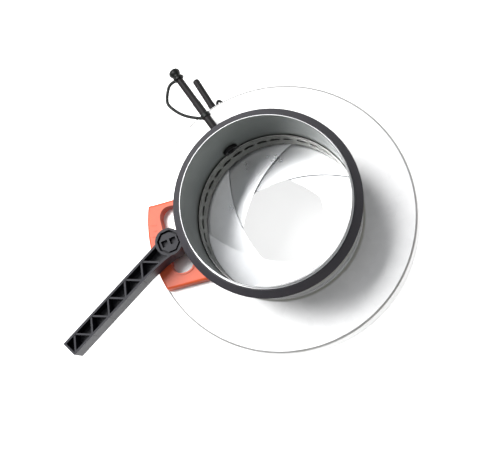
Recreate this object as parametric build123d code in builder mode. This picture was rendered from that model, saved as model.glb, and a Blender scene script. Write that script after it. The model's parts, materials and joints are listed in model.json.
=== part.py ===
"""Iris volume control damper for a 100 mm round duct, in millimetres.

The duct axis is +Z and the part stands on the rim of its lower spigot, at z = 0. Seven thin
blades hang under a carrier ring on vertical pivot pins. A control ring turns them together, and
a lever on top of the housing drives that ring through a short crank inside.
"""

from build123d import *
from math import atan2, cos, degrees, hypot, radians, sin
import os

# Duct ends (all heights marked h_ are measured from the middle plane of the housing)
spigot_r = 49.5
sheet = 0.6
h_rim = 72.0
hem_length = 6.0
rim_ease = 0.25
nose_step = 0.55
h_bead = 33.6
bead_rise = 1.2
bead_half = 1.7
flange_r = 53.0

# Housing
housing_r = 82.5
housing_half = 12.0
pan_sheet = 0.8
pan_corner = 1.6
pan_lap = 0.05
lower_skirt_height = 10.0
neck_height = 5.0
neck_flare = 1.5
curl_r = 0.7

# Rubber lip seals
seal_gap = 4.0
seal_length = 14.0
seal_wall = 0.9
lip_r = 54.4
lip_sheet = 1.0
lip_back = 4.0
lip_pitch = 5.4
lip_fold = 1.4

# Collars inside the spigots
collar_sheet = 0.5
collar_gap = 0.5
collar_lip = 1.2
h_upper_collar_top = 23.0
h_upper_collar_foot = 0.6
collar_foot_r = 56.0
collar_foot_sheet = 0.8
h_lower_collar_top = -9.6
h_lower_collar_end = -23.0
slot_count = 36
slot_length = 6.6
slot_width = 2.6
h_slots = 9.1

# Blades
blade_count = 7
first_pivot_angle = 12.9
pivot_r = 76.5
blade_sheet = 0.5
blade_outer_r = 80.0
blade_edge_r = 85.0
blade_edge_centre_r = 34.5
blade_edge_centre_angle = 250.0
blade_root_angle = 18.0
blade_tip_angle = 90.0
blade_lobe_r = 4.3
blade_tip_round = 4.0
blade_root_round = 3.0
blade_slope = 0.07
blade_uphill_angle = -30.0
h_blade = 0.3
blade_travel = 27.0
blade_rest = 19.5

# Pins of the blades
pin_r = 1.5
pin_head_r = 2.5
pin_head = 0.5
pivot_shoulder_r = 2.4
drive_pin_r = 68.0
drive_pin_angle = 18.0
running_fit = 0.05
slot_fit = 0.3
gap = 0.2

# Carrier and control rings
carrier_inset = 3.1
carrier_sheet = 1.4
carrier_rim_sheet = 0.8
control_inner_r = 53.0
control_sheet = 1.6
ring_gap = 0.4
ring_per_blade = 0.4
clip_count = 3
clip_width = 9.0
clip_sheet = 1.0
clip_overlap = 2.2
clip_edge = 1.5

# Lever, shaft and crank
hub_r = 65.5
hub_angle = 191.5
ring_per_lever = 0.15
lever_rest_direction = 222.6
lever_length = 87.0
lever_root_width = 11.4
lever_tip_width = 9.8
lever_neck = 16.0
lever_taper = 8.0
lever_height = 15.0
lever_floor = 5.0
lever_rail = 1.3
lever_rib = 1.1
lever_cell = 14.6
lever_first_rib = 12.5
lever_edge_round = 0.6
lever_flare = 7.4
lever_flare_end = 12.0
hub_outer_r = 8.3
hub_recess = 13.4
hub_recess_depth = 4.0
hub_block = 11.0
hub_mark_angle = -24.0
hub_block_drop = 0.6
hub_pocket = 3.8
hub_pocket_pitch = 5.2
boss_r = 4.6
shaft_r = 3.5
shaft_depth_in_lever = 4.0
crank_arm = 9.3
crank_sheet = 2.0
crank_width = 8.0
crank_lift = 1.8
shaft_clip_r = 6.0
shaft_clip_sheet = 0.8
bush_r = 4.5
bush_flange_r = 4.95
bush_flange = 0.8
bush_depth = 2.8

# Scale plate
plate_angle = 190.0
plate_inner_r = 53.4
plate_outer_r = 81.0
plate_half_width = 26.5
plate_height = 9.0
plate_wall = 1.8
plate_round = 1.4
window_near = 56.6
window_far = 70.9
window_left = -23.0
window_right = 19.0
window_round = 6.6
window_lip = 1.0
window_lip_height = 0.7
plate_screw_x = 74.5
plate_screw_y = 17.0
screw_r = 1.3
screw_head_r = 2.6
screw_head = 1.4
screw_reach = 5.5
plate_boss_r = 2.9

# Measuring taps
tap_r = 2.4
tap_bore_r = 1.4
h_tap = 27.9
tap_inner_end = 46.6
upper_tap_angle = 121.7
upper_tap_end = 105.5
lower_tap_angle = 118.4
lower_tap_end = 118.0
tap_step = 0.2
hose_end_length = 20.0
grommet_r = 4.8
grommet_outer_r = 3.9
grommet_neck_r = 3.4
grommet_flange = 1.1
cap_start = 98.5
cap_end = 111.5
cap_r = 3.3
cap_rib_r = 3.9
cap_rib = 1.3
tether_r = 0.7
tether_collar = 75.0
tether_collar_length = 2.6
tether_collar_r = 3.3
hook_collar = 92.0

# Heights and radii that follow
h_mid = h_rim
z_top = h_mid + housing_half
z_under_top = z_top - pan_sheet
z_collar_foot = h_mid + h_upper_collar_foot
z_control = z_collar_foot + collar_foot_sheet + gap
z_control_top = z_control + control_sheet
z_carrier_top = z_control_top + gap
z_carrier = z_carrier_top - carrier_sheet
z_blade = h_mid + h_blade
z_crank = z_control_top + crank_lift
z_crank_top = z_crank + crank_sheet
spigot_inner_r = spigot_r - sheet
pan_inner_r = housing_r - pan_sheet
lower_skirt_r = pan_inner_r - pan_lap
carrier_inner_r = pivot_r - carrier_inset
control_outer_r = carrier_inner_r - ring_gap
clip_outer_r = pan_inner_r - carrier_rim_sheet - clip_edge
z_plate_top = z_top + plate_height
z_lever = z_plate_top + 2.2
z_lever_top = z_lever + lever_height
z_shaft_top = z_lever + lever_floor + shaft_depth_in_lever

# Motion: the ring turns ring_per_blade of the blades' swing, and the lever turns the other way
blade_step = 360.0 / blade_count
ring_travel = blade_travel * ring_per_blade
ring_rest = blade_rest * ring_per_blade
lever_travel = ring_travel / ring_per_lever
lever_from_middle = (blade_travel / 2 - blade_rest) * ring_per_blade / ring_per_lever
crank_rest_direction = hub_angle + 180.0 + lever_from_middle

os.makedirs("parts", exist_ok=True)


def save(piece, name):
    """Label a finished piece and write it to its own STEP file."""
    piece.part.label = name
    export_step(piece.part, f"parts/{name}.step")


def polar(radius, angle):
    """Point at a radius and an angle in degrees."""
    return (radius * cos(radians(angle)), radius * sin(radians(angle)))


def level(side, h):
    """Height of a feature h above (side 1) or below (side -1) the middle plane."""
    return h_mid + side * h


# ---------------------------------------------------------------- housing and spigots


def make_spigot(side):
    """Duct spigot: hemmed rim, rolled stop bead, and a flange folded under the pan."""
    inner = spigot_inner_r
    foot = level(side, housing_half - pan_sheet)
    crest = bead_half * 0.4
    with BuildPart() as spigot:
        with BuildSketch(Plane.XZ):
            with BuildLine():
                Polyline(
                    (inner, foot - side * sheet),
                    (inner, level(side, h_rim - hem_length)),
                    (inner - sheet, level(side, h_rim - hem_length + rim_ease)),
                    (inner - sheet, level(side, h_rim - rim_ease)),
                    (inner - sheet + rim_ease, level(side, h_rim)),
                    (spigot_r - nose_step - rim_ease, level(side, h_rim)),
                    (spigot_r - nose_step, level(side, h_rim - rim_ease)),
                    (spigot_r - nose_step, level(side, h_rim - seal_gap)),
                    (spigot_r, level(side, h_rim - seal_gap)),
                    (spigot_r, level(side, h_bead + bead_half)),
                    (spigot_r + bead_rise, level(side, h_bead + crest)),
                    (spigot_r + bead_rise, level(side, h_bead - crest)),
                    (spigot_r, level(side, h_bead - bead_half)),
                    (spigot_r, foot),
                    (flange_r, foot),
                    (flange_r, foot - side * sheet),
                    close=True,
                )
            make_face()
        revolve(axis=Axis.Z)
        angle = upper_tap_angle if side > 0 else lower_tap_angle
        plane = Plane(origin=(0, 0, level(side, h_tap)), z_dir=(*polar(1, angle), 0))
        with BuildSketch(plane):
            Circle(grommet_neck_r)
        extrude(amount=spigot_r + bead_rise, mode=Mode.SUBTRACT)
    return spigot


with BuildPart() as upper_shell:
    lap_end = h_mid - housing_half + pan_sheet + curl_r
    with BuildSketch(Plane.XZ):
        with BuildLine():
            neck = Polyline(
                (spigot_r, z_under_top),
                (spigot_r, z_top + neck_height),
                (spigot_r + pan_sheet, z_top + neck_height),
                (spigot_r + pan_sheet, z_top + neck_flare),
            )
            RadiusArc(neck @ 1, (spigot_r + pan_sheet + neck_flare, z_top), -neck_flare)
            Line((spigot_r + pan_sheet + neck_flare, z_top), (housing_r - pan_corner, z_top))
            RadiusArc((housing_r - pan_corner, z_top), (housing_r, z_top - pan_corner), pan_corner)
            Polyline(
                (housing_r, z_top - pan_corner),
                (housing_r, lap_end),
                (pan_inner_r, lap_end),
                (pan_inner_r, z_under_top),
                (spigot_r, z_under_top),
            )
        make_face()
    revolve(axis=Axis.Z)
    with Locations((*polar(hub_r, hub_angle), z_top)):
        Hole(bush_r, depth=2 * pan_sheet)
    screw_frame = Plane(origin=(0, 0, z_top), x_dir=(*polar(1, plate_angle), 0), z_dir=(0, 0, 1))
    with Locations(screw_frame):
        with Locations((plate_screw_x, plate_screw_y, 0), (plate_screw_x, -plate_screw_y, 0)):
            Hole(screw_r, depth=2 * pan_sheet)
save(upper_shell, "upper_shell")

with BuildPart() as lower_shell:
    z_bottom = h_mid - housing_half
    z_floor = z_bottom + pan_sheet
    skirt_inner_r = lower_skirt_r - pan_sheet
    with BuildSketch(Plane.XZ):
        with BuildLine():
            neck = Polyline(
                (spigot_r, z_floor),
                (spigot_r, z_bottom - neck_height),
                (spigot_r + pan_sheet, z_bottom - neck_height),
                (spigot_r + pan_sheet, z_bottom - neck_flare),
            )
            RadiusArc(neck @ 1, (spigot_r + pan_sheet + neck_flare, z_bottom), neck_flare)
            Line((spigot_r + pan_sheet + neck_flare, z_bottom), (housing_r - curl_r, z_bottom))
            RadiusArc((housing_r - curl_r, z_bottom), (housing_r, z_bottom + curl_r), -curl_r)
            Polyline(
                (housing_r, z_bottom + curl_r),
                (housing_r, z_floor),
                (lower_skirt_r, z_floor),
                (lower_skirt_r, z_bottom + lower_skirt_height),
                (skirt_inner_r, z_bottom + lower_skirt_height),
                (skirt_inner_r, z_floor),
                (spigot_r, z_floor),
            )
        make_face()
    revolve(axis=Axis.Z)
save(lower_shell, "lower_shell")

upper_spigot = make_spigot(1)
save(upper_spigot, "upper_spigot")
lower_spigot = make_spigot(-1)
save(lower_spigot, "lower_spigot")


def make_seal(side):
    """Lip seal round a spigot: a band with two lips that lean back from the rim."""
    front = h_rim - seal_gap
    band_r = spigot_r + seal_wall
    first = front - lip_back
    second = first - lip_pitch
    with BuildPart() as seal:
        with BuildSketch(Plane.XZ):
            with BuildLine():
                Polyline(
                    (spigot_r, level(side, front)),
                    (band_r, level(side, front)),
                    (lip_r, level(side, first)),
                    (lip_r - 0.2, level(side, first - lip_sheet)),
                    (band_r + 0.3, level(side, first + lip_fold - lip_sheet)),
                    (band_r, level(side, first - 2 * lip_sheet)),
                    (lip_r - 0.9, level(side, second)),
                    (lip_r - 1.1, level(side, second - lip_sheet)),
                    (band_r, level(side, second)),
                    (band_r, level(side, front - seal_length)),
                    (spigot_r, level(side, front - seal_length)),
                    close=True,
                )
            make_face()
        revolve(axis=Axis.Z)
    return seal


for side, name in ((1, "upper_gasket"), (-1, "lower_gasket")):
    save(make_seal(side), name)

# ---------------------------------------------------------------- collars inside the spigots

collar_r = spigot_inner_r - collar_gap
collar_inner_r = collar_r - collar_sheet


def collar_lip_points(side, end):
    """Flared end of a collar, which meets the spigot's wall, as (radius, height) points."""
    return [
        (collar_r, end - side * collar_lip),
        (spigot_inner_r, end - side * (collar_lip - collar_gap)),
        (spigot_inner_r, end),
        (collar_inner_r + collar_gap / 2, end),
        (collar_inner_r, end - side * collar_gap),
    ]


with BuildPart() as slotted_collar:
    with BuildSketch(Plane.XZ):
        with BuildLine():
            Polyline(
                (collar_inner_r, z_collar_foot),
                (collar_foot_r, z_collar_foot),
                (collar_foot_r, z_collar_foot + collar_foot_sheet),
                (collar_r, z_collar_foot + collar_foot_sheet),
                *collar_lip_points(1, h_mid + h_upper_collar_top),
                close=True,
            )
        make_face()
    revolve(axis=Axis.Z)
    for index in range(slot_count):
        facing = Plane(
            origin=(0, 0, h_mid + h_slots),
            x_dir=(*polar(1, index * 360 / slot_count + 90), 0),
            z_dir=(*polar(1, index * 360 / slot_count), 0),
        )
        with BuildSketch(facing):
            SlotOverall(slot_length, slot_width)
        extrude(amount=spigot_r, mode=Mode.SUBTRACT)
save(slotted_collar, "slotted_collar")

with BuildPart() as lower_collar:
    with BuildSketch(Plane.XZ):
        with BuildLine():
            Polyline(
                (collar_inner_r, h_mid + h_lower_collar_top),
                (collar_r, h_mid + h_lower_collar_top),
                *collar_lip_points(-1, h_mid + h_lower_collar_end),
                close=True,
            )
        make_face()
    revolve(axis=Axis.Z)
save(lower_collar, "lower_collar")

# ---------------------------------------------------------------- carrier ring and blades


def pivot_angle(index):
    """Direction of a blade's pivot from the duct axis."""
    return first_pivot_angle + index * blade_step


def drive_pin_offset():
    """Drive pin seen from the pivot, in the blade's own frame."""
    x, y = polar(drive_pin_r, drive_pin_angle)
    return x - pivot_r, y


def drive_pin_point(index, swing):
    """Drive pin of a blade at a swing angle, seen from the duct axis."""
    x, y = drive_pin_offset()
    px, py = polar(pivot_r, pivot_angle(index))
    dx, dy = polar(hypot(x, y), degrees(atan2(y, x)) + pivot_angle(index) + swing)
    return px + dx, py + dy


def turned(point, angle):
    """A point turned about the duct axis."""
    return polar(hypot(*point), degrees(atan2(point[1], point[0])) + angle)


with BuildPart() as carrier_ring:
    rim_outer_r = pan_inner_r
    with BuildSketch(Plane.XZ):
        with BuildLine():
            Polyline(
                (carrier_inner_r, z_carrier),
                (rim_outer_r, z_carrier),
                (rim_outer_r, z_under_top),
                (rim_outer_r - carrier_rim_sheet, z_under_top),
                (rim_outer_r - carrier_rim_sheet, z_carrier_top),
                (carrier_inner_r, z_carrier_top),
                close=True,
            )
        make_face()
    revolve(axis=Axis.Z)
    with BuildSketch(Plane.XY.offset(z_carrier_top)):
        with Locations(*[polar(pivot_r, pivot_angle(i)) for i in range(blade_count)]):
            Circle(pin_r + running_fit)
    extrude(amount=-2 * carrier_sheet, mode=Mode.SUBTRACT)
save(carrier_ring, "carrier_ring")


def blade_plane(index):
    """Sloping plane of a blade's top face at rest, with its origin on the pivot axis."""
    swing = pivot_angle(index) + blade_rest
    uphill = polar(blade_slope, swing + blade_uphill_angle)
    rise = blade_slope * cos(radians(blade_uphill_angle))
    return Plane(
        origin=(*polar(pivot_r, pivot_angle(index)), z_blade),
        x_dir=(*polar(1, swing), rise),
        z_dir=(-uphill[0], -uphill[1], 1),
    )


def make_pins(index):
    """Pivot pin and drive pin of a blade, each riveted under it."""
    pivot = polar(pivot_r, pivot_angle(index))
    drive = drive_pin_point(index, blade_rest)
    top = z_carrier_top + gap
    trim = 8 * pin_head_r
    with BuildPart() as pins:
        with BuildSketch(Plane.XY.offset(z_blade)):
            with Locations(pivot):
                Circle(pivot_shoulder_r)
        extrude(amount=z_carrier - gap - z_blade)
        with BuildSketch(Plane.XY.offset(z_blade - 2 * blade_sheet)):
            with Locations(pivot):
                Circle(pin_r)
        extrude(amount=top - z_blade + 2 * blade_sheet)
        with BuildSketch(Plane.XY.offset(top)):
            with Locations(pivot):
                Circle(pin_head_r)
        extrude(amount=pin_head)
        with BuildSketch(Plane.XY.offset(z_blade - 3.0)):
            with Locations(drive):
                Circle(pin_r)
        extrude(amount=top - z_blade + 3.0)
        with BuildSketch(blade_plane(index).offset(-blade_sheet - pin_head)):
            with Locations((0, 0), drive_pin_offset()):
                Circle(trim)
        extrude(amount=-trim, mode=Mode.SUBTRACT)
        with BuildSketch(blade_plane(index).offset(-blade_sheet)):
            with Locations((0, 0), drive_pin_offset()):
                Circle(pin_head_r)
        extrude(amount=-pin_head)
    return pins


def make_blade(index, pins):
    """Crescent blade: its inner edge closes the duct, and its round lobe sits on the pivot."""
    axis_x = -pivot_r
    centre_x, centre_y = polar(blade_edge_centre_r, blade_edge_centre_angle)
    centre = (axis_x + centre_x, centre_y)
    reach = 2 * blade_outer_r
    wedge = [polar(reach, blade_root_angle), polar(reach, blade_tip_angle)]
    with BuildPart() as blade:
        with BuildSketch(blade_plane(index)):
            with Locations((axis_x, 0)):
                Circle(blade_outer_r)
            with Locations(centre):
                Circle(blade_edge_r, mode=Mode.SUBTRACT)
            with BuildLine():
                Polyline(
                    centre,
                    (centre[0] + wedge[0][0], centre[1] + wedge[0][1]),
                    (centre[0] + wedge[1][0], centre[1] + wedge[1][1]),
                    close=True,
                )
            make_face(mode=Mode.INTERSECT)
        extrude(amount=-blade_sheet)
        along = Axis(blade_plane(index).origin, blade_plane(index).y_dir)
        corners = blade.edges().filter_by(lambda edge: abs(edge.length - blade_sheet) < 0.01)
        ordered = corners.sort_by(along)
        fillet(ordered[-2:], radius=blade_tip_round)
        with BuildSketch(blade_plane(index)):
            Circle(blade_lobe_r)
        extrude(amount=-blade_sheet)
        add(pins.part, mode=Mode.SUBTRACT)
    return blade


for index in range(blade_count):
    blade_pins = make_pins(index)
    save(blade_pins, f"blade_{index + 1}_pins")
    save(make_blade(index, blade_pins), f"blade_{index + 1}")

# ---------------------------------------------------------------- control ring

ring_now = ring_rest


def crank_pin_point(turn):
    """Crank pin seen from the duct axis, with the lever turned from the middle of its travel."""
    hub = polar(hub_r, hub_angle)
    arm = polar(crank_arm, hub_angle + 180.0 + turn)
    return hub[0] + arm[0], hub[1] + arm[1]


with BuildPart() as control_ring:
    with BuildSketch(Plane.XY.offset(z_control)):
        Circle(control_outer_r)
        Circle(control_inner_r, mode=Mode.SUBTRACT)
        for index in range(blade_count):
            track = [
                turned(drive_pin_point(index, swing), ring_rest - swing * ring_per_blade)
                for swing in (0, blade_travel / 2, blade_travel)
            ]
            path = ThreePointArc(*track, mode=Mode.PRIVATE)
            SlotArc(path, height=2 * (pin_r + slot_fit), mode=Mode.SUBTRACT)
        track = []
        for share in (-0.5, 0.0):
            turn = share * lever_travel
            ring = ring_travel / 2 - share * ring_travel
            track.append(turned(crank_pin_point(turn), ring_rest - ring))
        path = Line(*track, mode=Mode.PRIVATE)
        SlotArc(path, height=2 * (pin_r + slot_fit), mode=Mode.SUBTRACT)
    extrude(amount=control_sheet)
save(control_ring, "control_ring")

with BuildPart() as ring_clips:
    with BuildSketch(Plane.XY.offset(z_carrier_top)):
        for index in range(clip_count):
            angle = first_pivot_angle + (2 * index + 0.5) * blade_step
            inner = control_outer_r - clip_overlap
            with Locations(Location((*polar((inner + clip_outer_r) / 2, angle), 0), angle)):
                RectangleRounded(clip_outer_r - inner, clip_width, 1.5)
    extrude(amount=clip_sheet)
save(ring_clips, "ring_clips")

# ---------------------------------------------------------------- shaft, crank and bush

hub = polar(hub_r, hub_angle)

with BuildPart() as shaft_bush:
    with BuildSketch(Plane.XY.offset(z_top - bush_depth)):
        with Locations(hub):
            Circle(bush_r)
            Circle(shaft_r + running_fit, mode=Mode.SUBTRACT)
    extrude(amount=bush_depth)
    with BuildSketch(Plane.XY.offset(z_top)):
        with Locations(hub):
            Circle(bush_flange_r)
            Circle(shaft_r + running_fit, mode=Mode.SUBTRACT)
    extrude(amount=bush_flange)
save(shaft_bush, "shaft_bush")

with BuildPart() as lever_shaft:
    with BuildSketch(Plane.XY.offset(z_crank)):
        with Locations(hub):
            Circle(shaft_r)
    extrude(amount=z_shaft_top - z_crank)
save(lever_shaft, "lever_shaft")

with BuildPart() as crank:
    pin = crank_pin_point(lever_from_middle)
    with BuildSketch(Plane.XY.offset(z_crank)):
        with BuildLine():
            arm = Line(hub, pin)
        SlotArc(arm.edge(), height=crank_width)
        with Locations(hub):
            Circle(shaft_r, mode=Mode.SUBTRACT)
    extrude(amount=crank_sheet)
    with BuildSketch(Plane.XY.offset(z_crank)):
        with Locations(pin):
            Circle(pin_r)
    extrude(amount=z_control - gap / 2 - z_crank)
save(crank, "crank")

with BuildPart() as shaft_clip:
    with BuildSketch(Plane.XY.offset(z_crank_top)):
        with Locations(hub):
            Circle(shaft_clip_r)
            Circle(shaft_r, mode=Mode.SUBTRACT)
    extrude(amount=shaft_clip_sheet)
save(shaft_clip, "shaft_clip")

# ---------------------------------------------------------------- lever

lever_frame = Plane(
    origin=(*hub, z_lever), x_dir=(*polar(1, lever_rest_direction), 0), z_dir=(0, 0, 1)
)


def lever_arm(inset, start):
    """Outline of the arm, drawn in by inset, from start along its length to its end."""
    root = lever_root_width / 2 - inset
    tip = lever_tip_width / 2 - inset
    with BuildLine() as outline:
        Polyline(
            (start, -tip),
            (lever_length - inset, -tip),
            (lever_length - inset, tip),
            (lever_neck + lever_taper, tip),
            (lever_flare_end, root),
            (start, lever_flare - inset),
            close=True,
        )
    return make_face(outline.edges())


with BuildPart() as lever:
    with BuildSketch(lever_frame):
        Circle(hub_outer_r)
        lever_arm(0, 0)
    extrude(amount=lever_height)
    upright = lever.edges().filter_by(Axis.Z)
    fillet(upright.sort_by(Axis(lever_frame.origin, lever_frame.x_dir))[-2:], radius=lever_edge_round)
    with BuildSketch(lever_frame.offset(lever_floor)):
        lever_arm(lever_rail, 0)
        Circle(hub_outer_r, mode=Mode.SUBTRACT)
    extrude(amount=lever_height, mode=Mode.SUBTRACT)
    half = lever_tip_width / 2 - lever_rail / 2
    stations = int((lever_length - lever_first_rib) / lever_cell * 2) + 1
    zigzag = [(lever_first_rib + i * lever_cell / 2, half * (-1) ** i) for i in range(stations)]
    with BuildSketch(lever_frame.offset(lever_floor)):
        with BuildLine():
            Polyline(*zigzag)
        trace(line_width=lever_rib)
    extrude(amount=lever_height - lever_floor - 0.4)
    hub_face = lever_frame.offset(lever_height).rotated((0, 0, hub_mark_angle))
    with BuildSketch(hub_face):
        RegularPolygon(hub_recess / 2, 8, major_radius=False, rotation=22.5)
        RegularPolygon(hub_block / 2, 8, major_radius=False, rotation=22.5, mode=Mode.SUBTRACT)
    extrude(amount=-hub_recess_depth, mode=Mode.SUBTRACT)
    with BuildSketch(hub_face):
        Circle(hub_block / 2 + 0.6)
    extrude(amount=-hub_block_drop, mode=Mode.SUBTRACT)
    with BuildSketch(hub_face):
        with Locations((-hub_pocket_pitch / 2, 0), (hub_pocket_pitch / 2, 0)):
            Rectangle(hub_pocket, hub_pocket)
    extrude(amount=-hub_recess_depth, mode=Mode.SUBTRACT)
    with BuildSketch(lever_frame):
        Circle(boss_r)
    extrude(amount=z_top + bush_flange + gap - z_lever)
    with BuildSketch(Plane.XY.offset(z_top)):
        with Locations(hub):
            Circle(shaft_r)
    extrude(amount=z_shaft_top - z_top, mode=Mode.SUBTRACT)
save(lever, "lever")

# ---------------------------------------------------------------- scale plate and its screws

plate_frame = Plane(origin=(0, 0, z_top), x_dir=(*polar(1, plate_angle), 0), z_dir=(0, 0, 1))
screw_places = [(plate_screw_x, plate_screw_y), (plate_screw_x, -plate_screw_y)]


def plate_outline(inset):
    """Sector of the plate between the spigot's neck and the housing's edge."""
    middle = (plate_inner_r + plate_outer_r) / 2
    Circle(plate_outer_r - inset)
    Circle(plate_inner_r + inset, mode=Mode.SUBTRACT)
    with Locations((middle, 0)):
        Rectangle(plate_outer_r, 2 * (plate_half_width - inset), mode=Mode.INTERSECT)


def window_outline(outset, mode=Mode.ADD):
    """Long window that the lever's boss passes through."""
    width = window_far - window_near + 2 * outset
    length = window_right - window_left + 2 * outset
    with Locations(((window_near + window_far) / 2, (window_left + window_right) / 2)):
        RectangleRounded(width, length, window_round + outset, mode=mode)


with BuildPart() as scale_plate:
    with BuildSketch(plate_frame):
        plate_outline(0)
    extrude(amount=plate_height)
    fillet(scale_plate.faces().sort_by(Axis.Z)[-1].edges(), radius=plate_round)
    with BuildSketch(plate_frame.offset(plate_height)):
        window_outline(window_lip)
    extrude(amount=window_lip_height)
    with BuildSketch(plate_frame):
        plate_outline(plate_wall)
        window_outline(plate_wall, mode=Mode.SUBTRACT)
        with Locations(*screw_places):
            Circle(plate_boss_r, mode=Mode.SUBTRACT)
    extrude(amount=plate_height - plate_wall, mode=Mode.SUBTRACT)
    with BuildSketch(plate_frame):
        window_outline(0)
    extrude(amount=2 * plate_height, mode=Mode.SUBTRACT)
    with BuildSketch(plate_frame):
        with Locations(*screw_places):
            Circle(screw_r)
    extrude(amount=screw_reach, mode=Mode.SUBTRACT)
save(scale_plate, "scale_plate")

with BuildPart() as plate_screws:
    with BuildSketch(plate_frame.offset(-pan_sheet)):
        with Locations(*screw_places):
            Circle(screw_r)
    extrude(amount=pan_sheet + screw_reach)
    with BuildSketch(plate_frame.offset(-pan_sheet)):
        with Locations(*screw_places):
            Circle(screw_head_r)
    extrude(amount=-screw_head)
save(plate_screws, "plate_screws")

# ---------------------------------------------------------------- measuring taps


def tap_plane(side):
    """Upright plane through a tap: x runs out along the tube and y runs up."""
    angle = upper_tap_angle if side > 0 else lower_tap_angle
    out = polar(1, angle)
    return Plane(origin=(0, 0, level(side, h_tap)), x_dir=(*out, 0), z_dir=(out[1], -out[0], 0))


def turn_profile(side, points):
    """Solid turned about a tap's axis from (distance out, radius) points."""
    plane = tap_plane(side)
    with BuildPart() as turned_piece:
        with BuildSketch(plane):
            with BuildLine():
                Polyline(*points, close=True)
            make_face()
        revolve(axis=Axis(plane.origin, plane.x_dir))
    return turned_piece


def make_tube(side, end):
    """Stiff measuring tube through the grommet in the spigot's wall, with a slimmer outer end."""
    end_r = tap_r - tap_step
    return turn_profile(
        side,
        [
            (tap_inner_end, tap_bore_r),
            (tap_inner_end, tap_r - 0.3),
            (tap_inner_end + 0.3, tap_r),
            (end - hose_end_length, tap_r),
            (end - hose_end_length, end_r),
            (end - 0.8, end_r),
            (end, end_r - 0.6),
            (end, tap_bore_r),
        ],
    )


def make_grommet(side, spigot):
    """Rubber grommet whose flanges hug the curved wall from both sides."""
    with BuildPart() as grommet:
        flanges = turn_profile(
            side,
            [
                (collar_inner_r - 0.6, tap_r),
                (collar_inner_r - 0.6, grommet_r - 0.5),
                (collar_inner_r, grommet_r),
                (spigot_inner_r + 0.2, grommet_r),
                (spigot_inner_r + 0.2, grommet_outer_r),
                (spigot_r + grommet_flange - 0.6, grommet_outer_r),
                (spigot_r + grommet_flange, grommet_outer_r - 0.6),
                (spigot_r + grommet_flange, tap_r),
            ],
        )
        add(flanges.part)
        add(spigot.part, mode=Mode.SUBTRACT)
    return grommet


def tether(side, points, collar, wire_r):
    """Thin moulded tether along a horizontal path, ending in a loose collar on the tube."""
    plane = tap_plane(side)
    flat = Plane(origin=plane.origin, x_dir=plane.x_dir, z_dir=(0, 0, 1))
    with BuildPart() as strap:
        with BuildLine(flat) as path:
            runs = [hypot(b[0] - a[0], b[1] - a[1]) for a, b in zip(points, points[1:])]
            bends = [
                Vector(b[0] - a[0], b[1] - a[1]).get_angle(Vector(c[0] - b[0], c[1] - b[1]))
                for a, b, c in zip(points, points[1:], points[2:])
            ]
            radii = [
                0.45 * min(pair) / (sin(radians(bend / 2)) / cos(radians(bend / 2)))
                for pair, bend in zip(zip(runs, runs[1:]), bends)
            ]
            FilletPolyline(*points, radius=radii)
        with BuildSketch(Plane(origin=path.line @ 0, z_dir=path.line % 0)):
            Circle(wire_r)
        sweep()
        bore = tap_r + running_fit
        ring = turn_profile(
            side,
            [
                (collar - tether_collar_length / 2, bore),
                (collar - tether_collar_length / 2, tether_collar_r),
                (collar + tether_collar_length / 2, tether_collar_r),
                (collar + tether_collar_length / 2, bore),
            ],
        )
        add(ring.part)
    return strap


save(make_tube(1, upper_tap_end), "upper_tap_tube")
save(make_tube(-1, lower_tap_end), "lower_tap_tube")
save(make_grommet(1, upper_spigot), "upper_grommet")
save(make_grommet(-1, lower_spigot), "lower_grommet")

with BuildPart() as tap_cap:
    bore = tap_r - tap_step + running_fit
    nose = cap_end - cap_r
    body = turn_profile(
        1,
        [
            (cap_start, bore),
            (cap_start, cap_rib_r - 0.5),
            (cap_start + 0.5, cap_rib_r),
            (cap_start + cap_rib, cap_rib_r),
            (cap_start + cap_rib, cap_r - 0.2),
            (cap_start + 4.6, cap_r - 0.2),
            (cap_start + 4.6, cap_rib_r),
            (cap_start + 4.6 + cap_rib, cap_rib_r),
            (cap_start + 4.6 + cap_rib, cap_r - 0.3),
            (nose - 0.4, cap_r - 0.3),
            (nose, cap_r),
            (nose + 1.4, cap_r - 0.2),
            (cap_end - 0.9, cap_r - 1.2),
            (cap_end, 0),
            (upper_tap_end + gap, 0),
            (upper_tap_end + gap, bore),
        ],
    )
    add(body.part)
    route = [(cap_start + 2.6, cap_r - 0.5), (96.2, 15.2), (81.5, 9.0), (tether_collar, tether_collar_r - 0.4)]
    add(tether(1, route, tether_collar, tether_r).part)
save(tap_cap, "upper_tap_cap")

hook = [
    (hook_collar, -tether_collar_r + 0.4),
    (hook_collar + 4.6, -6.0),
    (hook_collar + 6.2, -8.6),
    (hook_collar + 3.4, -10.4),
    (hook_collar + 1.4, -10.0),
]
save(tether(-1, hook, hook_collar, tether_r), "lower_tap_tether")
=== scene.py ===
"""Looks of the iris volume control damper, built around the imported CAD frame, in metres."""
import json
import math

import bmesh
import bpy
from mathutils import Matrix, Vector


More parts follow.
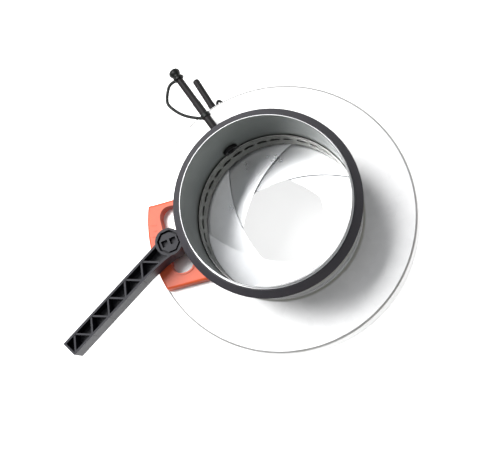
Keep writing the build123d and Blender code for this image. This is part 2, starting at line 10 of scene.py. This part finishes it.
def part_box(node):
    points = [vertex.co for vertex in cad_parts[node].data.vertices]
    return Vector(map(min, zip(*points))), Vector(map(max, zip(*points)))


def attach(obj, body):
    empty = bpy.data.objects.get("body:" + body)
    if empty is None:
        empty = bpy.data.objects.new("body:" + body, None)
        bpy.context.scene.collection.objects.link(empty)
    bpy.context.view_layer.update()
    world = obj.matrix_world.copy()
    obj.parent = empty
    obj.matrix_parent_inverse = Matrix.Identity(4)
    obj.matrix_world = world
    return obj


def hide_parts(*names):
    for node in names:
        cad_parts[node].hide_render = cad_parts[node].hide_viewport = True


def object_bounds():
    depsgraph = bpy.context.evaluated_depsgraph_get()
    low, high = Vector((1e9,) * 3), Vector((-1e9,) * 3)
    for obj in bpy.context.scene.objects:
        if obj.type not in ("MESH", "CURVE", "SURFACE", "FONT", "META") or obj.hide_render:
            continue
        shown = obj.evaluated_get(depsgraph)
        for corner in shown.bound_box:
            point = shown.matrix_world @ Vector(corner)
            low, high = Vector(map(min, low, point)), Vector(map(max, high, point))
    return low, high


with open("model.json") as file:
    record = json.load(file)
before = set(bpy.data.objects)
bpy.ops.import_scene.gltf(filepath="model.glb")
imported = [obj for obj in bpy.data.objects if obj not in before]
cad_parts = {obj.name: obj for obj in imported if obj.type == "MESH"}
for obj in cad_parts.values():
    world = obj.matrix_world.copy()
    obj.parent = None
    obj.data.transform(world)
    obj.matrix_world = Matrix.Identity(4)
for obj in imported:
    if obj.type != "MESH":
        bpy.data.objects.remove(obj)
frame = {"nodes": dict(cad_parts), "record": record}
NODES = frame["nodes"]
cad_low, cad_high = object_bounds()

HOUSING_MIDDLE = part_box("upper_spigot")[1].z / 2
DUCT_AXIS = Vector((0, 0, 0)), Vector((0, 0, 1))


# ---------------------------------------------------------------- material helpers


class Nodes:
    """Short way to build one material's node tree."""

    def __init__(self, name):
        self.material = bpy.data.materials.new(name)
        self.material.use_nodes = True
        self.tree = self.material.node_tree
        self.tree.nodes.clear()
        self.out = self.add("ShaderNodeOutputMaterial")
        self.shader = self.add("ShaderNodeBsdfPrincipled")
        self.link(self.shader, "BSDF", self.out, "Surface")
        self.place = self.add("ShaderNodeTexCoord")

    def add(self, kind, **inputs):
        node = self.tree.nodes.new(kind)
        for key, value in inputs.items():
            node.inputs[key.replace("_", " ")].default_value = value
        return node

    def link(self, source, output, target, socket):
        self.tree.links.new(source.outputs[output], target.inputs[socket])

    def maths(self, operation, second=None, kind="ShaderNodeMath"):
        """A node that does sums, with its second value where that is fixed."""
        node = self.add(kind)
        node.operation = operation
        if second is not None:
            node.inputs[1].default_value = second
        return node

    def vector_maths(self, operation, second=None):
        return self.maths(operation, second, "ShaderNodeVectorMath")

    def colour_mix(self, blend="MIX", second=None):
        node = self.add("ShaderNodeMix")
        node.data_type = "RGBA"
        node.blend_type = blend
        if second:
            node.inputs["B"].default_value = (*second, 1.0)
        return node

    def level(self):
        """Object coordinates with the height taken out."""
        flat = self.vector_maths("MULTIPLY", (1, 1, 0))
        self.link(self.place, "Object", flat, "Vector")
        return flat

    def scaled(self, scale):
        """Object coordinates stretched by a scale for each axis."""
        mapping = self.add("ShaderNodeMapping", Scale=scale)
        self.link(self.place, "Object", mapping, "Vector")
        return mapping

    def noise(self, scale, detail=4.0, roughness=0.55, stretch=(1, 1, 1)):
        node = self.add("ShaderNodeTexNoise", Scale=scale, Detail=detail, Roughness=roughness)
        self.link(self.scaled(stretch), "Vector", node, "Vector")
        return node

    def ramp(self, source, output, stops):
        node = self.add("ShaderNodeValToRGB")
        elements = node.color_ramp.elements
        while len(elements) < len(stops):
            elements.new(0.5)
        for element, (position, colour) in zip(elements, stops):
            element.position = position
            element.color = (*colour, 1.0)
        self.link(source, output, node, "Fac")
        return node

    def value_range(self, source, output, low, high):
        node = self.add("ShaderNodeMapRange", To_Min=low, To_Max=high)
        self.link(source, output, node, "Value")
        return node

    def bump(self, source, output, strength, distance, after=None):
        node = self.add("ShaderNodeBump", Strength=strength, Distance=distance)
        self.link(source, output, node, "Height")
        if after:
            self.link(after, "Normal", node, "Normal")
        return node

    def set(self, **values):
        for key, value in values.items():
            self.shader.inputs[key.replace("_", " ")].default_value = value


def grey(value, warm=0.0):
    """A grey that leans warm (positive) or cool (negative)."""
    return (value * (1 + warm), value, value * (1 - warm))


# ---------------------------------------------------------------- materials

# grey of the painted shade inside the housing
HOUSING_SHADE_GREY = 0.03
SKIN_GAP = 0.0001


def inward(m):
    """1 on faces that look towards the duct axis, 0 elsewhere, whatever the view: the mask of the
    painted shade on the inner walls.
    """
    unit = m.vector_maths("NORMALIZE")
    m.link(m.level(), "Vector", unit, "Vector")
    dot = m.vector_maths("DOT_PRODUCT")
    m.link(unit, "Vector", dot, 0)
    m.link(m.place, "Normal", dot, 1)
    side = m.value_range(dot, "Value", 1.0, 0.0)
    side.inputs["From Min"].default_value = -0.5
    side.inputs["From Max"].default_value = -0.2
    return side


def inside_housing(m):
    """1 on what lies within the carrier ring's reach between the pans, 0 elsewhere: where shade is
    painted inside the housing.
    """
    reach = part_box("carrier_ring")[1]
    split = m.add("ShaderNodeSeparateXYZ")
    m.link(m.place, "Object", split, "Vector")
    off = m.maths("SUBTRACT", HOUSING_MIDDLE)
    m.link(split, "Z", off, 0)
    away = m.maths("ABSOLUTE")
    m.link(off, "Value", away, 0)
    within = m.maths("LESS_THAN", reach.z - HOUSING_MIDDLE + SKIN_GAP)
    m.link(away, "Value", within, 0)
    length = m.vector_maths("LENGTH")
    m.link(m.level(), "Vector", length, "Vector")
    near = m.maths("LESS_THAN", reach.x + SKIN_GAP)
    m.link(length, "Value", near, 0)
    both = m.maths("MULTIPLY")
    m.link(within, "Value", both, 0)
    m.link(near, "Value", both, 1)
    return both


def galvanised(name, base, rough, spangle=0.05, warm=0.0, metallic=0.95, inner=None, shut_in=False):
    """Zinc coated sheet: soft crystal patches, faint rolling lines and a few handling marks.

    inner is a tint of painted shade on the faces that look towards the duct axis. shut_in paints
    shade over what lies inside the housing.
    """
    m = Nodes(name)
    crystals = m.add("ShaderNodeTexVoronoi", Scale=210.0)
    m.link(m.scaled((1, 1, 0.6)), "Vector", crystals, "Vector")
    cloud = m.noise(55.0, detail=5.0)
    dull, bright = grey(base - spangle, warm), grey(base + spangle, warm)
    colour = m.colour_mix()
    colour.inputs["Factor"].default_value = 0.6
    m.link(m.ramp(crystals, "Color", [(0.0, dull), (1.0, bright)]), "Color", colour, "A")
    m.link(m.ramp(cloud, "Fac", [(0.3, dull), (0.75, bright)]), "Color", colour, "B")
    # painted shade: the faces that look towards the duct axis are darkened
    if inner:
        inner_painted_shade = m.colour_mix("MULTIPLY", inner)
        m.link(inward(m), "Result", inner_painted_shade, "Factor")
        m.link(colour, "Result", inner_painted_shade, "A")
        colour = inner_painted_shade
    # painted shade over what lies inside the housing
    if shut_in:
        shaded = m.colour_mix(second=grey(HOUSING_SHADE_GREY))
        m.link(inside_housing(m), "Value", shaded, "Factor")
        m.link(colour, "Result", shaded, "A")
        colour = shaded
    m.link(colour, "Result", m.shader, "Base Color")
    m.link(m.value_range(cloud, "Fac", *rough), "Result", m.shader, "Roughness")
    rolling = m.bump(m.noise(260.0, detail=2.0, stretch=(0.15, 1, 1)), "Fac", 0.12, 0.00004)
    handling = m.bump(m.noise(18.0, detail=3.0), "Fac", 0.2, 0.0003, after=rolling)
    m.link(handling, "Normal", m.shader, "Normal")
    m.set(Metallic=metallic)
    return m.material


def moulded(name, dark, light, rough=(0.35, 0.5), specular=0.5):
    """Moulded plastic or rubber: a fine grained skin with faint colour drift."""
    m = Nodes(name)
    drift = m.noise(38.0, detail=3.0)
    m.link(m.ramp(drift, "Fac", [(0.3, dark), (0.7, light)]), "Color", m.shader, "Base Color")
    m.link(m.value_range(drift, "Fac", *rough), "Result", m.shader, "Roughness")
    skin = m.noise(900.0, detail=3.0, roughness=0.6)
    m.link(m.bump(skin, "Fac", 0.35, 0.00003), "Normal", m.shader, "Normal")
    m.set(Specular_IOR_Level=specular)
    return m.material


MATERIALS = {
    # the housing's sheet gets painted shade over what lies inside the housing
    "galvanised_sheet": galvanised(
        "galvanised sheet", 0.80, (0.34, 0.46), metallic=0.7, shut_in=True
    ),
    # the inner tint paints shade on the spigot's inner wall
    "spigot_steel": galvanised(
        "spigot steel", 0.72, (0.32, 0.44), warm=-0.01, inner=(0.17, 0.195, 0.178)
    ),
    # the inner tint paints shade on the collar's inner face
    "collar_steel": galvanised(
        "collar steel", 0.62, (0.3, 0.42), warm=0.02, inner=(0.36, 0.37, 0.32)
    ),
    "blade_steel": galvanised(
        "blade steel", 0.84, (0.24, 0.34), spangle=0.03, warm=-0.012, metallic=0.85
    ),
    "zinc_steel": galvanised("bright zinc", 0.68, (0.2, 0.3), spangle=0.02),
    "spring_steel": galvanised("spring steel", 0.22, (0.3, 0.45), spangle=0.02),
    "seal_rubber": moulded(
        "seal rubber", (0.024, 0.022, 0.030), (0.038, 0.035, 0.045), (0.45, 0.58), 0.4
    ),
    "grommet_rubber": moulded(
        "grommet rubber", (0.02, 0.02, 0.021), (0.03, 0.03, 0.031), (0.5, 0.65)
    ),
    "black_plastic": moulded("black plastic", (0.016, 0.016, 0.02), (0.024, 0.024, 0.03)),
    "lever_plastic": moulded(
        "lever plastic", (0.008, 0.008, 0.016), (0.014, 0.014, 0.024), (0.4, 0.5), 0.32
    ),
    "tap_plastic": moulded(
        "tap plastic", (0.016, 0.014, 0.015), (0.028, 0.025, 0.026), (0.45, 0.6), 0.25
    ),
    "cap_plastic": moulded(
        "cap plastic", (0.008, 0.010, 0.009), (0.015, 0.018, 0.017), (0.35, 0.5), 0.3
    ),
    "orange_plastic": moulded(
        "orange plastic", (0.84, 0.115, 0.034), (0.90, 0.14, 0.044), (0.32, 0.42), 0.45
    ),
}

SLOT_OF = {part["node"]: part["material_slot"] for part in frame["record"]["subparts"]}
for name, node in NODES.items():
    node.data.materials.clear()
    node.data.materials.append(MATERIALS[SLOT_OF[name]])


# ---------------------------------------------------------------- mesh helpers

SHARP_ANGLE = math.radians(35)


def lathe(mesh, line, profile, steps=64):
    """Add a surface turned about a line to a bmesh, from (distance along, radius) points."""
    origin, axis = line
    side = axis.orthogonal().normalized()
    up = axis.cross(side)
    rings = []
    for along, radius in profile:
        ring = []
        for step in range(steps if radius > 0 else 1):
            turn = 2 * math.pi * step / steps
            spoke = side * math.cos(turn) + up * math.sin(turn)
            ring.append(mesh.verts.new(origin + axis * along + spoke * radius))
        rings.append(ring)
    for near, far in zip(rings, rings[1:]):
        for step in range(steps):
            after = (step + 1) % steps
            corners = [near[step % len(near)], near[after % len(near)]]
            corners += [far[after % len(far)], far[step % len(far)]]
            mesh.faces.new(dict.fromkeys(corners))


def bridge(mesh, near, far):
    """Add the faces between two closed loops of as many points."""
    for step in range(len(near)):
        after = (step + 1) % len(near)
        mesh.faces.new((near[step], near[after], far[after], far[step]))


def strand(mesh, points, radius):
    """Add a round strand to a bmesh, on the smooth curve that its points steer."""
    line = bpy.data.curves.new("strand", "CURVE")
    line.dimensions = "3D"
    line.bevel_depth = radius
    line.bevel_resolution = 4
    line.use_fill_caps = True
    spline = line.splines.new("NURBS")
    spline.points.add(len(points) - 1)
    for point, place in zip(spline.points, points):
        point.co = (*place, 1.0)
    spline.order_u = 3
    spline.use_endpoint_u = True
    spline.resolution_u = 12
    holder = bpy.data.objects.new("strand", line)
    mesh.from_mesh(bpy.data.meshes.new_from_object(holder))
    bpy.data.objects.remove(holder)


def place_in_scene(name, data):
    made = bpy.data.objects.new(name, data)
    bpy.context.scene.collection.objects.link(made)
    return made


def piece(name, mesh, material, body, bevel=0.0):
    """Finish a bmesh as a smooth shaded piece that rides on a body."""
    bmesh.ops.recalc_face_normals(mesh, faces=mesh.faces)
    data = bpy.data.meshes.new(name)
    mesh.to_mesh(data)
    mesh.free()
    data.materials.append(material)
    data.shade_smooth()
    made = place_in_scene(name, data)
    if bevel:
        edges = made.modifiers.new("edges", "BEVEL")
        edges.width = bevel
        edges.segments = 2
    made.data.set_sharp_from_angle(angle=SHARP_ANGLE)
    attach(made, body)
    return made


# ---------------------------------------------------------------- caps and tethers of the taps

# each tap's turn about the duct axis in degrees, and its height
UPPER_TAP = 121.7, 0.0999
LOWER_TAP = 118.4, 0.0441

TETHER_R = 0.00095
RING_HALF, RING_BORE, RING_R, RING_EDGE = 0.0013, 0.00245, 0.0032, 0.0003

# distance from the duct axis and radius
CAP_PROFILE = [
    (0.1036, 0.0023), (0.1036, 0.0030), (0.1040, 0.00345), (0.1050, 0.00345), (0.1054, 0.0030),
    (0.1062, 0.00275), (0.1070, 0.0028), (0.1076, 0.0032), (0.1086, 0.0035), (0.1097, 0.0034),
    (0.1106, 0.0028), (0.1112, 0.0018), (0.1115, 0.0),
]

# distance from the duct axis and distance beside the tap
TETHER_ROUTE = [
    (0.1045, 0.0030), (0.1052, 0.0062), (0.1017, 0.0104), (0.0974, 0.0139), (0.0942, 0.0146),
    (0.0889, 0.0132), (0.0840, 0.0110), (0.0791, 0.0072), (0.0750, 0.0029),
]
HOOK_ROUTE = [
    (0.0910, -0.0028), (0.0935, -0.0031), (0.0962, -0.0037), (0.0974, -0.0052),
    (0.0962, -0.0065), (0.0936, -0.0073),
]


def tap_point(turn, height, along, across=0.0):
    """A point by its distance along a tap from the duct axis and its distance beside it."""
    c, s = math.cos(math.radians(turn)), math.sin(math.radians(turn))
    return Vector((along * c - across * s, along * s + across * c, height))


def tap_line(turn, height):
    """The line that a tap lies on, from the duct axis outward."""
    return Vector((0, 0, height)), tap_point(turn, 0.0, 1.0)


def tether(mesh, tap, route, ring_place):
    """Add a tether's strand, and the snug ring that holds it on its tube."""
    strand(mesh, [tap_point(*tap, *point) for point in route], TETHER_R)
    profile = [
        (-RING_HALF, RING_BORE), (-RING_HALF, RING_R - RING_EDGE), (-RING_HALF + RING_EDGE, RING_R),
        (RING_HALF - RING_EDGE, RING_R), (RING_HALF, RING_R - RING_EDGE), (RING_HALF, RING_BORE),
        (-RING_HALF, RING_BORE),
    ]
    lathe(mesh, tap_line(*tap), [(ring_place + x, r) for x, r in profile])


cap = bmesh.new()
lathe(cap, tap_line(*UPPER_TAP), CAP_PROFILE)
tether(cap, UPPER_TAP, TETHER_ROUTE, ring_place=0.0750)
capped = piece("tap_cap_with_tether", cap, MATERIALS["cap_plastic"], "cap_body")
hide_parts("upper_tap_cap")

hook = bmesh.new()
tether(hook, LOWER_TAP, HOOK_ROUTE, ring_place=0.0905)
hooked = piece("lower_tether_hook", hook, MATERIALS["cap_plastic"], "housing")
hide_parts("lower_tap_tether")


# ---------------------------------------------------------------- slotted collar

BAND_INNER_R, BAND_SHEET = 0.0479, 0.0005
BAND_OUTER_R = BAND_INNER_R + BAND_SHEET
FOOT_SHEET = 0.0008
SLOT_COUNT, SLOT_LENGTH, SLOT_HEIGHT, SLOT_Z = 36, 0.0066, 0.0052, 0.0852
SLOT_STEPS = 32
SLOT_RINGS = (0.0, 0.25, 1.0)
FOOT_STEPS, LIP_STEPS = 144, 288
SAME_PLACE = 0.000005
band_low, band_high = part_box("slotted_collar")


def slotted_wall(mesh, radius):
    """Add one face of the band as a ring of cells, each round a slot. Gives the slots' edges."""
    low, high = band_low.z + FOOT_SHEET / 2, band_high.z
    cell = 2 * math.pi * BAND_INNER_R / SLOT_COUNT
    slot_edge, cell_edge = [], []
    for step in range(SLOT_STEPS):
        turn = 2 * math.pi * (step + 0.5) / SLOT_STEPS
        x, z = math.cos(turn), math.sin(turn)
        reach = 1 / max(abs(x), abs(z))
        slot_edge.append((x * SLOT_LENGTH / 2, SLOT_Z + z * SLOT_HEIGHT / 2))
        height = z * reach * (high - SLOT_Z if z > 0 else SLOT_Z - low)
        cell_edge.append((x * reach * cell / 2, SLOT_Z + height))
    edges = []
    for index in range(SLOT_COUNT):
        rings = []
        for share in SLOT_RINGS:
            ring = []
            for (x0, z0), (x1, z1) in zip(slot_edge, cell_edge):
                turn = 2 * math.pi * index / SLOT_COUNT + (x0 + (x1 - x0) * share) / BAND_INNER_R
                place = radius * math.cos(turn), radius * math.sin(turn), z0 + (z1 - z0) * share
                ring.append(mesh.verts.new(place))
            rings.append(ring)
        for inner, outer in zip(rings, rings[1:]):
            bridge(mesh, inner, outer)
        edges.append(rings[0])
    return edges


band = bmesh.new()
inner_edges = slotted_wall(band, BAND_INNER_R)
outer_edges = slotted_wall(band, BAND_OUTER_R)
for near, far in zip(inner_edges, outer_edges):
    bridge(band, near, far)
bmesh.ops.remove_doubles(band, verts=band.verts, dist=SAME_PLACE)
lathe(band, DUCT_AXIS, [(band_high.z, BAND_INNER_R), (band_high.z, BAND_OUTER_R)], LIP_STEPS)
foot_profile = [
    (band_low.z, BAND_INNER_R), (band_low.z, band_high.x),
    (band_low.z + FOOT_SHEET, band_high.x), (band_low.z + FOOT_SHEET, BAND_OUTER_R),
]
lathe(band, DUCT_AXIS, foot_profile, FOOT_STEPS)
slotted = piece("slotted_band", band, MATERIALS["collar_steel"], "housing")
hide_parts("slotted_collar")


# ---------------------------------------------------------------- marks of the scale plate

# plain marks near the plate's outer edge, with turns in degrees; their middles lie MARK_DEPTH
# below the plate's highest point
MARK_COUNT, MARK_STEP, MARK_FIRST, PLATE_TURN = 9, 2.6, -10.4, 190.0
MARK_R, MARK_LONG, MARK_SHORT = 0.0752, 0.0032, 0.0020
MARK_WIDTH, MARK_THICK, MARK_DEPTH, MARK_BEVEL = 0.0006, 0.0003, 0.0007, 0.00012
mark_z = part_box("scale_plate")[1].z - MARK_DEPTH

marks = bmesh.new()
for index in range(MARK_COUNT):
    long = MARK_SHORT if index % 2 else MARK_LONG
    turn = math.radians(PLATE_TURN + MARK_FIRST + index * MARK_STEP)
    middle = Matrix.Translation((MARK_R + long / 2, 0, mark_z))
    size = Matrix.Diagonal((long, MARK_WIDTH, MARK_THICK, 1.0))
    bmesh.ops.create_cube(marks, size=1.0, matrix=Matrix.Rotation(turn, 4, "Z") @ middle @ size)
marked = piece("scale_marks", marks, MATERIALS["orange_plastic"], "housing", bevel=MARK_BEVEL)


# ---------------------------------------------------------------- camera, lights and floor

CAMERA_PLACE = (0.097147, -0.122576, 0.780887)
CAMERA_TURN = Vector((0.163, 0.175, -0.079))  # its axis times its angle in radians
CAMERA_LENS, CAMERA_SHIFT, CAMERA_REACH = 84.85, (0.0108, -0.0026), 20.0

LIGHT_TARGET = (0.0, 0.0, 0.08)
KEY_TURN, KEY_HEIGHT, KEY_DISTANCE = 150, 63, 1.5
KEY_SIZE, KEY_POWER = 0.8, 20.0
TOP_PLACE, TOP_SIZE, TOP_POWER = (0.1, -0.1, 1.6), 0.5, 1.0

SKY = ((0.0, (0.17, 0.165, 0.135)), (0.6, (0.14, 0.135, 0.118)), (0.95, (0.30, 0.31, 0.33)))
FLOOR_SIZE, FLOOR_GLOW = 6.0, 0.8

camera = bpy.data.cameras.new("camera")
camera.lens = CAMERA_LENS
camera.shift_x, camera.shift_y = CAMERA_SHIFT
camera.clip_end = CAMERA_REACH
camera_turn = Matrix.Rotation(CAMERA_TURN.length, 4, CAMERA_TURN.normalized())
camera_holder = place_in_scene("camera", camera)
camera_holder.matrix_world = Matrix.Translation(CAMERA_PLACE) @ camera_turn
bpy.context.scene.camera = camera_holder

bpy.context.scene.view_settings.view_transform = "Standard"


def area_light(name, location, size, power):
    """A square light that looks at the object."""
    light = bpy.data.lights.new(name, "AREA")
    light.shape = "RECTANGLE"
    light.size = light.size_y = size
    light.energy = power
    holder = place_in_scene(name, light)
    holder.location = location
    direction = Vector(LIGHT_TARGET) - Vector(location)
    holder.rotation_euler = direction.to_track_quat("-Z", "Y").to_euler()


def sky_place(turn, height, distance):
    """A point over the object, by its compass turn and height in degrees and its distance."""
    flat = distance * math.cos(math.radians(height))
    return (
        flat * math.cos(math.radians(turn)),
        flat * math.sin(math.radians(turn)),
        distance * math.sin(math.radians(height)),
    )


area_light("key", sky_place(KEY_TURN, KEY_HEIGHT, KEY_DISTANCE), KEY_SIZE, KEY_POWER)
area_light("top", TOP_PLACE, TOP_SIZE, TOP_POWER)

world = bpy.data.worlds.new("world")
bpy.context.scene.world = world
world.use_nodes = True
tree = world.node_tree
heading = tree.nodes.new("ShaderNodeTexCoord")
split = tree.nodes.new("ShaderNodeSeparateXYZ")
sky = tree.nodes.new("ShaderNodeValToRGB")
stops = sky.color_ramp.elements
stops.new(SKY[1][0])
for stop, (position, colour) in zip(stops, SKY):
    stop.position = position
    stop.color = (*colour, 1.0)
tree.links.new(heading.outputs["Generated"], split.inputs["Vector"])
tree.links.new(split.outputs["Z"], sky.inputs["Fac"])
tree.links.new(sky.outputs["Color"], tree.nodes["Background"].inputs["Color"])

bpy.ops.mesh.primitive_plane_add(size=FLOOR_SIZE, location=(0, 0, cad_low[2]))
floor = bpy.context.object
floor.name = "floor"
paper = Nodes("floor paper")
paper_tint = paper.ramp(paper.noise(3.0), "Fac", [(0.0, grey(0.86)), (1.0, grey(0.9))])
paper.link(paper_tint, "Color", paper.shader, "Base Color")
paper.set(Roughness=0.9, Emission_Color=(1, 1, 1, 1), Emission_Strength=FLOOR_GLOW)
floor.data.materials.append(paper.material)
